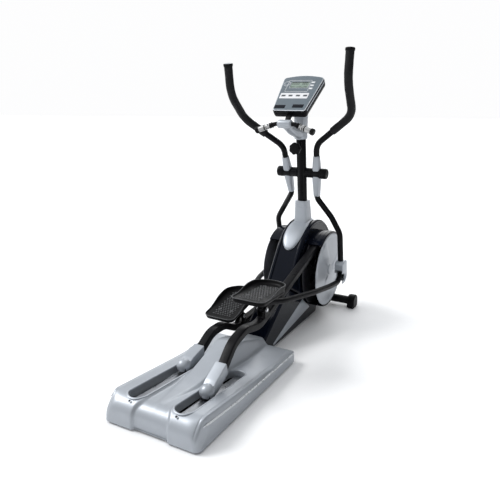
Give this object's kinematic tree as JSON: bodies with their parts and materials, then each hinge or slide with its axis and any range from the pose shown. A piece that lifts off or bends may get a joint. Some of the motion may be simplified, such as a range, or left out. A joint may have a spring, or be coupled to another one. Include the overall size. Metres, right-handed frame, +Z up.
{
  "type": "elliptical trainer",
  "caption": "Front drive elliptical trainer: foot pedals on roller beams and swing arms turn a braked flywheel under a console and fixed hand bar.",
  "frame": {"origin": "middle of the footprint on the floor, under the centre of the bounding box", "axes": "+Y forward, the way the user faces; +X to the user's right; +Z up"},
  "size_m": [0.7278, 2.04, 1.7467],
  "materials": {
    "frame_paint": "satin black powder coat",
    "silver_plastic": "satin silver painted moulding",
    "gloss_black": "gloss black moulding",
    "matte_black": "fine grained black moulding",
    "rubber": "matte rubber",
    "foam": "closed cell foam",
    "track_steel": "rolled steel track",
    "chrome": "plated",
    "steel": "ground steel",
    "pulse_steel": "satin stainless",
    "cast_alloy": "cast, dark anodised",
    "cast_iron": "turned and oiled",
    "bronze": "sintered bushes",
    "bezel": "blue grey overlay",
    "screen": "liquid crystal panel behind clear acrylic",
    "light_key": "light grey keys",
    "dark_key": "dark grey keys",
    "roller_tyre": "hard polyurethane"
  },
  "bodies": {
    "frame": {"base_frame": "frame_paint", "front_stabilizer": "frame_paint", "floor_feet": "matte_black", "track_rails": "track_steel", "deck_cover": "silver_plastic", "cover_screws": "chrome", "spine_cover": "gloss_black", "spine_stripes": "silver_plastic", "housing_shells": "gloss_black", "mast_boot": "silver_plastic", "crank_shrouds": "gloss_black", "disc_covers": "silver_plastic", "mast": "frame_paint", "cross_tube": "frame_paint", "arm_axle": "steel", "console_body": "matte_black", "console_face": "bezel", "console_screen": "screen", "handlebar_yoke": "silver_plastic", "handlebar_tubes": "frame_paint", "pulse_plates": "pulse_steel", "drive_belt": "rubber", "drive_bearings": "steel", "brake_unit": "matte_black"},
    "right_roller_carriage": {"right_roller_axle": "steel"},
    "right_roller_wheel": {"right_roller": "roller_tyre"},
    "right_beam_assembly": {"right_beam": "frame_paint", "right_beam_cover": "silver_plastic"},
    "right_link_pivot": {"right_link_pin": "chrome"},
    "right_link_assembly": {"right_foot_link": "frame_paint", "right_pedal": "matte_black"},
    "right_pivot_bush": {"right_arm_bush": "bronze"},
    "right_swing_arm": {"right_arm": "frame_paint", "right_arm_sleeves": "silver_plastic", "right_grip": "foam", "right_joint_cover": "silver_plastic"},
    "left_roller_carriage": {"left_roller_axle": "steel"},
    "left_roller_wheel": {"left_roller": "roller_tyre"},
    "left_beam_assembly": {"left_beam": "frame_paint", "left_beam_cover": "silver_plastic"},
    "left_link_pivot": {"left_link_pin": "chrome"},
    "left_link_assembly": {"left_foot_link": "frame_paint", "left_pedal": "matte_black"},
    "left_pivot_bush": {"left_arm_bush": "bronze"},
    "left_swing_arm": {"left_arm": "frame_paint", "left_arm_sleeves": "silver_plastic", "left_grip": "foam", "left_joint_cover": "silver_plastic"},
    "crank": {"crank_set": "cast_alloy", "drive_pulley": "cast_alloy"},
    "flywheel_wheel": {"flywheel": "cast_iron"},
    "belt_idler": {"idler_wheel": "matte_black"},
    "clamp_knob": {"mast_knob": "matte_black"},
    "menu_key_1_button": {"menu_key_1": "dark_key"},
    "menu_key_2_button": {"menu_key_2": "dark_key"},
    "menu_key_3_button": {"menu_key_3": "dark_key"},
    "menu_key_4_button": {"menu_key_4": "dark_key"},
    "side_key_1_button": {"side_key_1": "light_key"},
    "side_key_2_button": {"side_key_2": "light_key"},
    "side_key_3_button": {"side_key_3": "light_key"}
  },
  "joints": [
    {"name": "right_stride", "type": "slide", "parent": "frame", "child": "right_roller_carriage", "axis": [0, 0.9956, -0.0941], "range_m": [0, 0.18071]},
    {"name": "right_beam_lift", "type": "hinge", "parent": "right_roller_carriage", "child": "right_beam_assembly", "pos_m": [0.132, -0.73591, 0.12199], "axis": [1, 0, 0], "range_deg": [-14.91, 0]},
    {"name": "right_roller_spin", "type": "hinge", "parent": "right_roller_carriage", "child": "right_roller_wheel", "pos_m": [0.132, -0.73591, 0.12199], "axis": [1, 0, 0], "range_deg": [-342.71, 0]},
    {"name": "right_link_pivot_turn", "type": "hinge", "parent": "right_beam_assembly", "child": "right_link_pivot", "pos_m": [0.132, -0.185, 0.35293], "axis": [1, 0, 0], "range_deg": [0, 24.9]},
    {"name": "right_link_swing", "type": "hinge", "parent": "right_link_pivot", "child": "right_link_assembly", "pos_m": [0.132, -0.185, 0.35293], "axis": [1, 0, 0], "range_deg": [0, 4.29]},
    {"name": "right_bush_turn", "type": "hinge", "parent": "frame", "child": "right_pivot_bush", "pos_m": [0.102, 0.61, 1.005], "axis": [1, 0, 0], "range_deg": [0, 2.78]},
    {"name": "right_arm_swing", "type": "hinge", "parent": "right_pivot_bush", "child": "right_swing_arm", "pos_m": [0.102, 0.61, 1.005], "axis": [1, 0, 0], "range_deg": [0, 15.53]},
    {"name": "left_stride", "type": "slide", "parent": "frame", "child": "left_roller_carriage", "axis": [0, 0.9956, -0.0941], "range_m": [-0.18071, 0]},
    {"name": "left_beam_lift", "type": "hinge", "parent": "left_roller_carriage", "child": "left_beam_assembly", "pos_m": [-0.132, -0.556, 0.10498], "axis": [1, 0, 0], "range_deg": [0, 14.91]},
    {"name": "left_roller_spin", "type": "hinge", "parent": "left_roller_carriage", "child": "left_roller_wheel", "pos_m": [-0.132, -0.556, 0.10498], "axis": [1, 0, 0], "range_deg": [0, 342.71]},
    {"name": "left_link_pivot_turn", "type": "hinge", "parent": "left_beam_assembly", "child": "left_link_pivot", "pos_m": [-0.132, 0.03578, 0.1864], "axis": [1, 0, 0], "range_deg": [-25.3, 0]},
    {"name": "left_link_swing", "type": "hinge", "parent": "left_link_pivot", "child": "left_link_assembly", "pos_m": [-0.132, 0.03578, 0.1864], "axis": [1, 0, 0], "range_deg": [-4.69, 0]},
    {"name": "left_bush_turn", "type": "hinge", "parent": "frame", "child": "left_pivot_bush", "pos_m": [-0.102, 0.61, 1.005], "axis": [1, 0, 0], "range_deg": [-1.87, 0]},
    {"name": "left_arm_swing", "type": "hinge", "parent": "left_pivot_bush", "child": "left_swing_arm", "pos_m": [-0.102, 0.61, 1.005], "axis": [1, 0, 0], "range_deg": [-14.62, 0]},
    {"name": "crank_spin", "type": "hinge", "parent": "frame", "child": "crank", "pos_m": [0, 0.691, 0.354], "axis": [1, 0, 0], "continuous": true},
    {"name": "flywheel_spin", "type": "hinge", "parent": "frame", "child": "flywheel_wheel", "pos_m": [0.02, 0.85, 0.215], "axis": [1, 0, 0], "continuous": true},
    {"name": "idler_spin", "type": "hinge", "parent": "frame", "child": "belt_idler", "pos_m": [-0.02, 0.74849, 0.18839], "axis": [1, 0, 0], "continuous": true},
    {"name": "knob_turn", "type": "hinge", "parent": "frame", "child": "clamp_knob", "pos_m": [0, 0.5, 1.166], "axis": [0, 1, 0], "range_deg": [-360, 0]},
    {"name": "menu_key_1_press", "type": "slide", "parent": "frame", "child": "menu_key_1_button", "axis": [0, 0.6508, -0.7593], "range_m": [0, 0.0015], "stiffness_N_per_m": 300, "springref_m": -0.001},
    {"name": "menu_key_2_press", "type": "slide", "parent": "frame", "child": "menu_key_2_button", "axis": [0, 0.6508, -0.7593], "range_m": [0, 0.0015], "stiffness_N_per_m": 300, "springref_m": -0.001},
    {"name": "menu_key_3_press", "type": "slide", "parent": "frame", "child": "menu_key_3_button", "axis": [0, 0.6508, -0.7593], "range_m": [0, 0.0015], "stiffness_N_per_m": 300, "springref_m": -0.001},
    {"name": "menu_key_4_press", "type": "slide", "parent": "frame", "child": "menu_key_4_button", "axis": [0, 0.6508, -0.7593], "range_m": [0, 0.0015], "stiffness_N_per_m": 300, "springref_m": -0.001},
    {"name": "side_key_1_press", "type": "slide", "parent": "frame", "child": "side_key_1_button", "axis": [0, 0.6508, -0.7593], "range_m": [0, 0.0015], "stiffness_N_per_m": 300, "springref_m": -0.001},
    {"name": "side_key_2_press", "type": "slide", "parent": "frame", "child": "side_key_2_button", "axis": [0, 0.6508, -0.7593], "range_m": [0, 0.0015], "stiffness_N_per_m": 300, "springref_m": -0.001},
    {"name": "side_key_3_press", "type": "slide", "parent": "frame", "child": "side_key_3_button", "axis": [0, 0.6508, -0.7593], "range_m": [0, 0.0015], "stiffness_N_per_m": 300, "springref_m": -0.001}
  ],
  "couplings": [
    {"joint": "right_roller_spin", "follows": "right_stride", "rad_per_m": -33.003},
    {"joint": "right_link_pivot_turn", "follows": "right_beam_lift", "ratio": -1.6693},
    {"joint": "right_link_swing", "follows": "right_stride", "rad_per_m": 0.41328},
    {"joint": "right_bush_turn", "follows": "right_beam_lift", "ratio": -0.18551},
    {"joint": "right_arm_swing", "follows": "right_stride", "rad_per_m": 1.499},
    {"joint": "left_roller_spin", "follows": "right_stride", "rad_per_m": 33.003},
    {"joint": "left_link_pivot_turn", "follows": "right_beam_lift", "ratio": 1.696},
    {"joint": "left_link_swing", "follows": "right_stride", "rad_per_m": -0.45181},
    {"joint": "left_bush_turn", "follows": "right_beam_lift", "ratio": 0.12488},
    {"joint": "left_arm_swing", "follows": "right_stride", "rad_per_m": -1.4111},
    {"joint": "left_stride", "follows": "right_stride", "ratio": -1},
    {"joint": "left_beam_lift", "follows": "right_beam_lift", "ratio": -1},
    {"joint": "flywheel_spin", "follows": "crank_spin", "ratio": 4.3333},
    {"joint": "idler_spin", "follows": "crank_spin", "ratio": -8.6667}
  ]
}
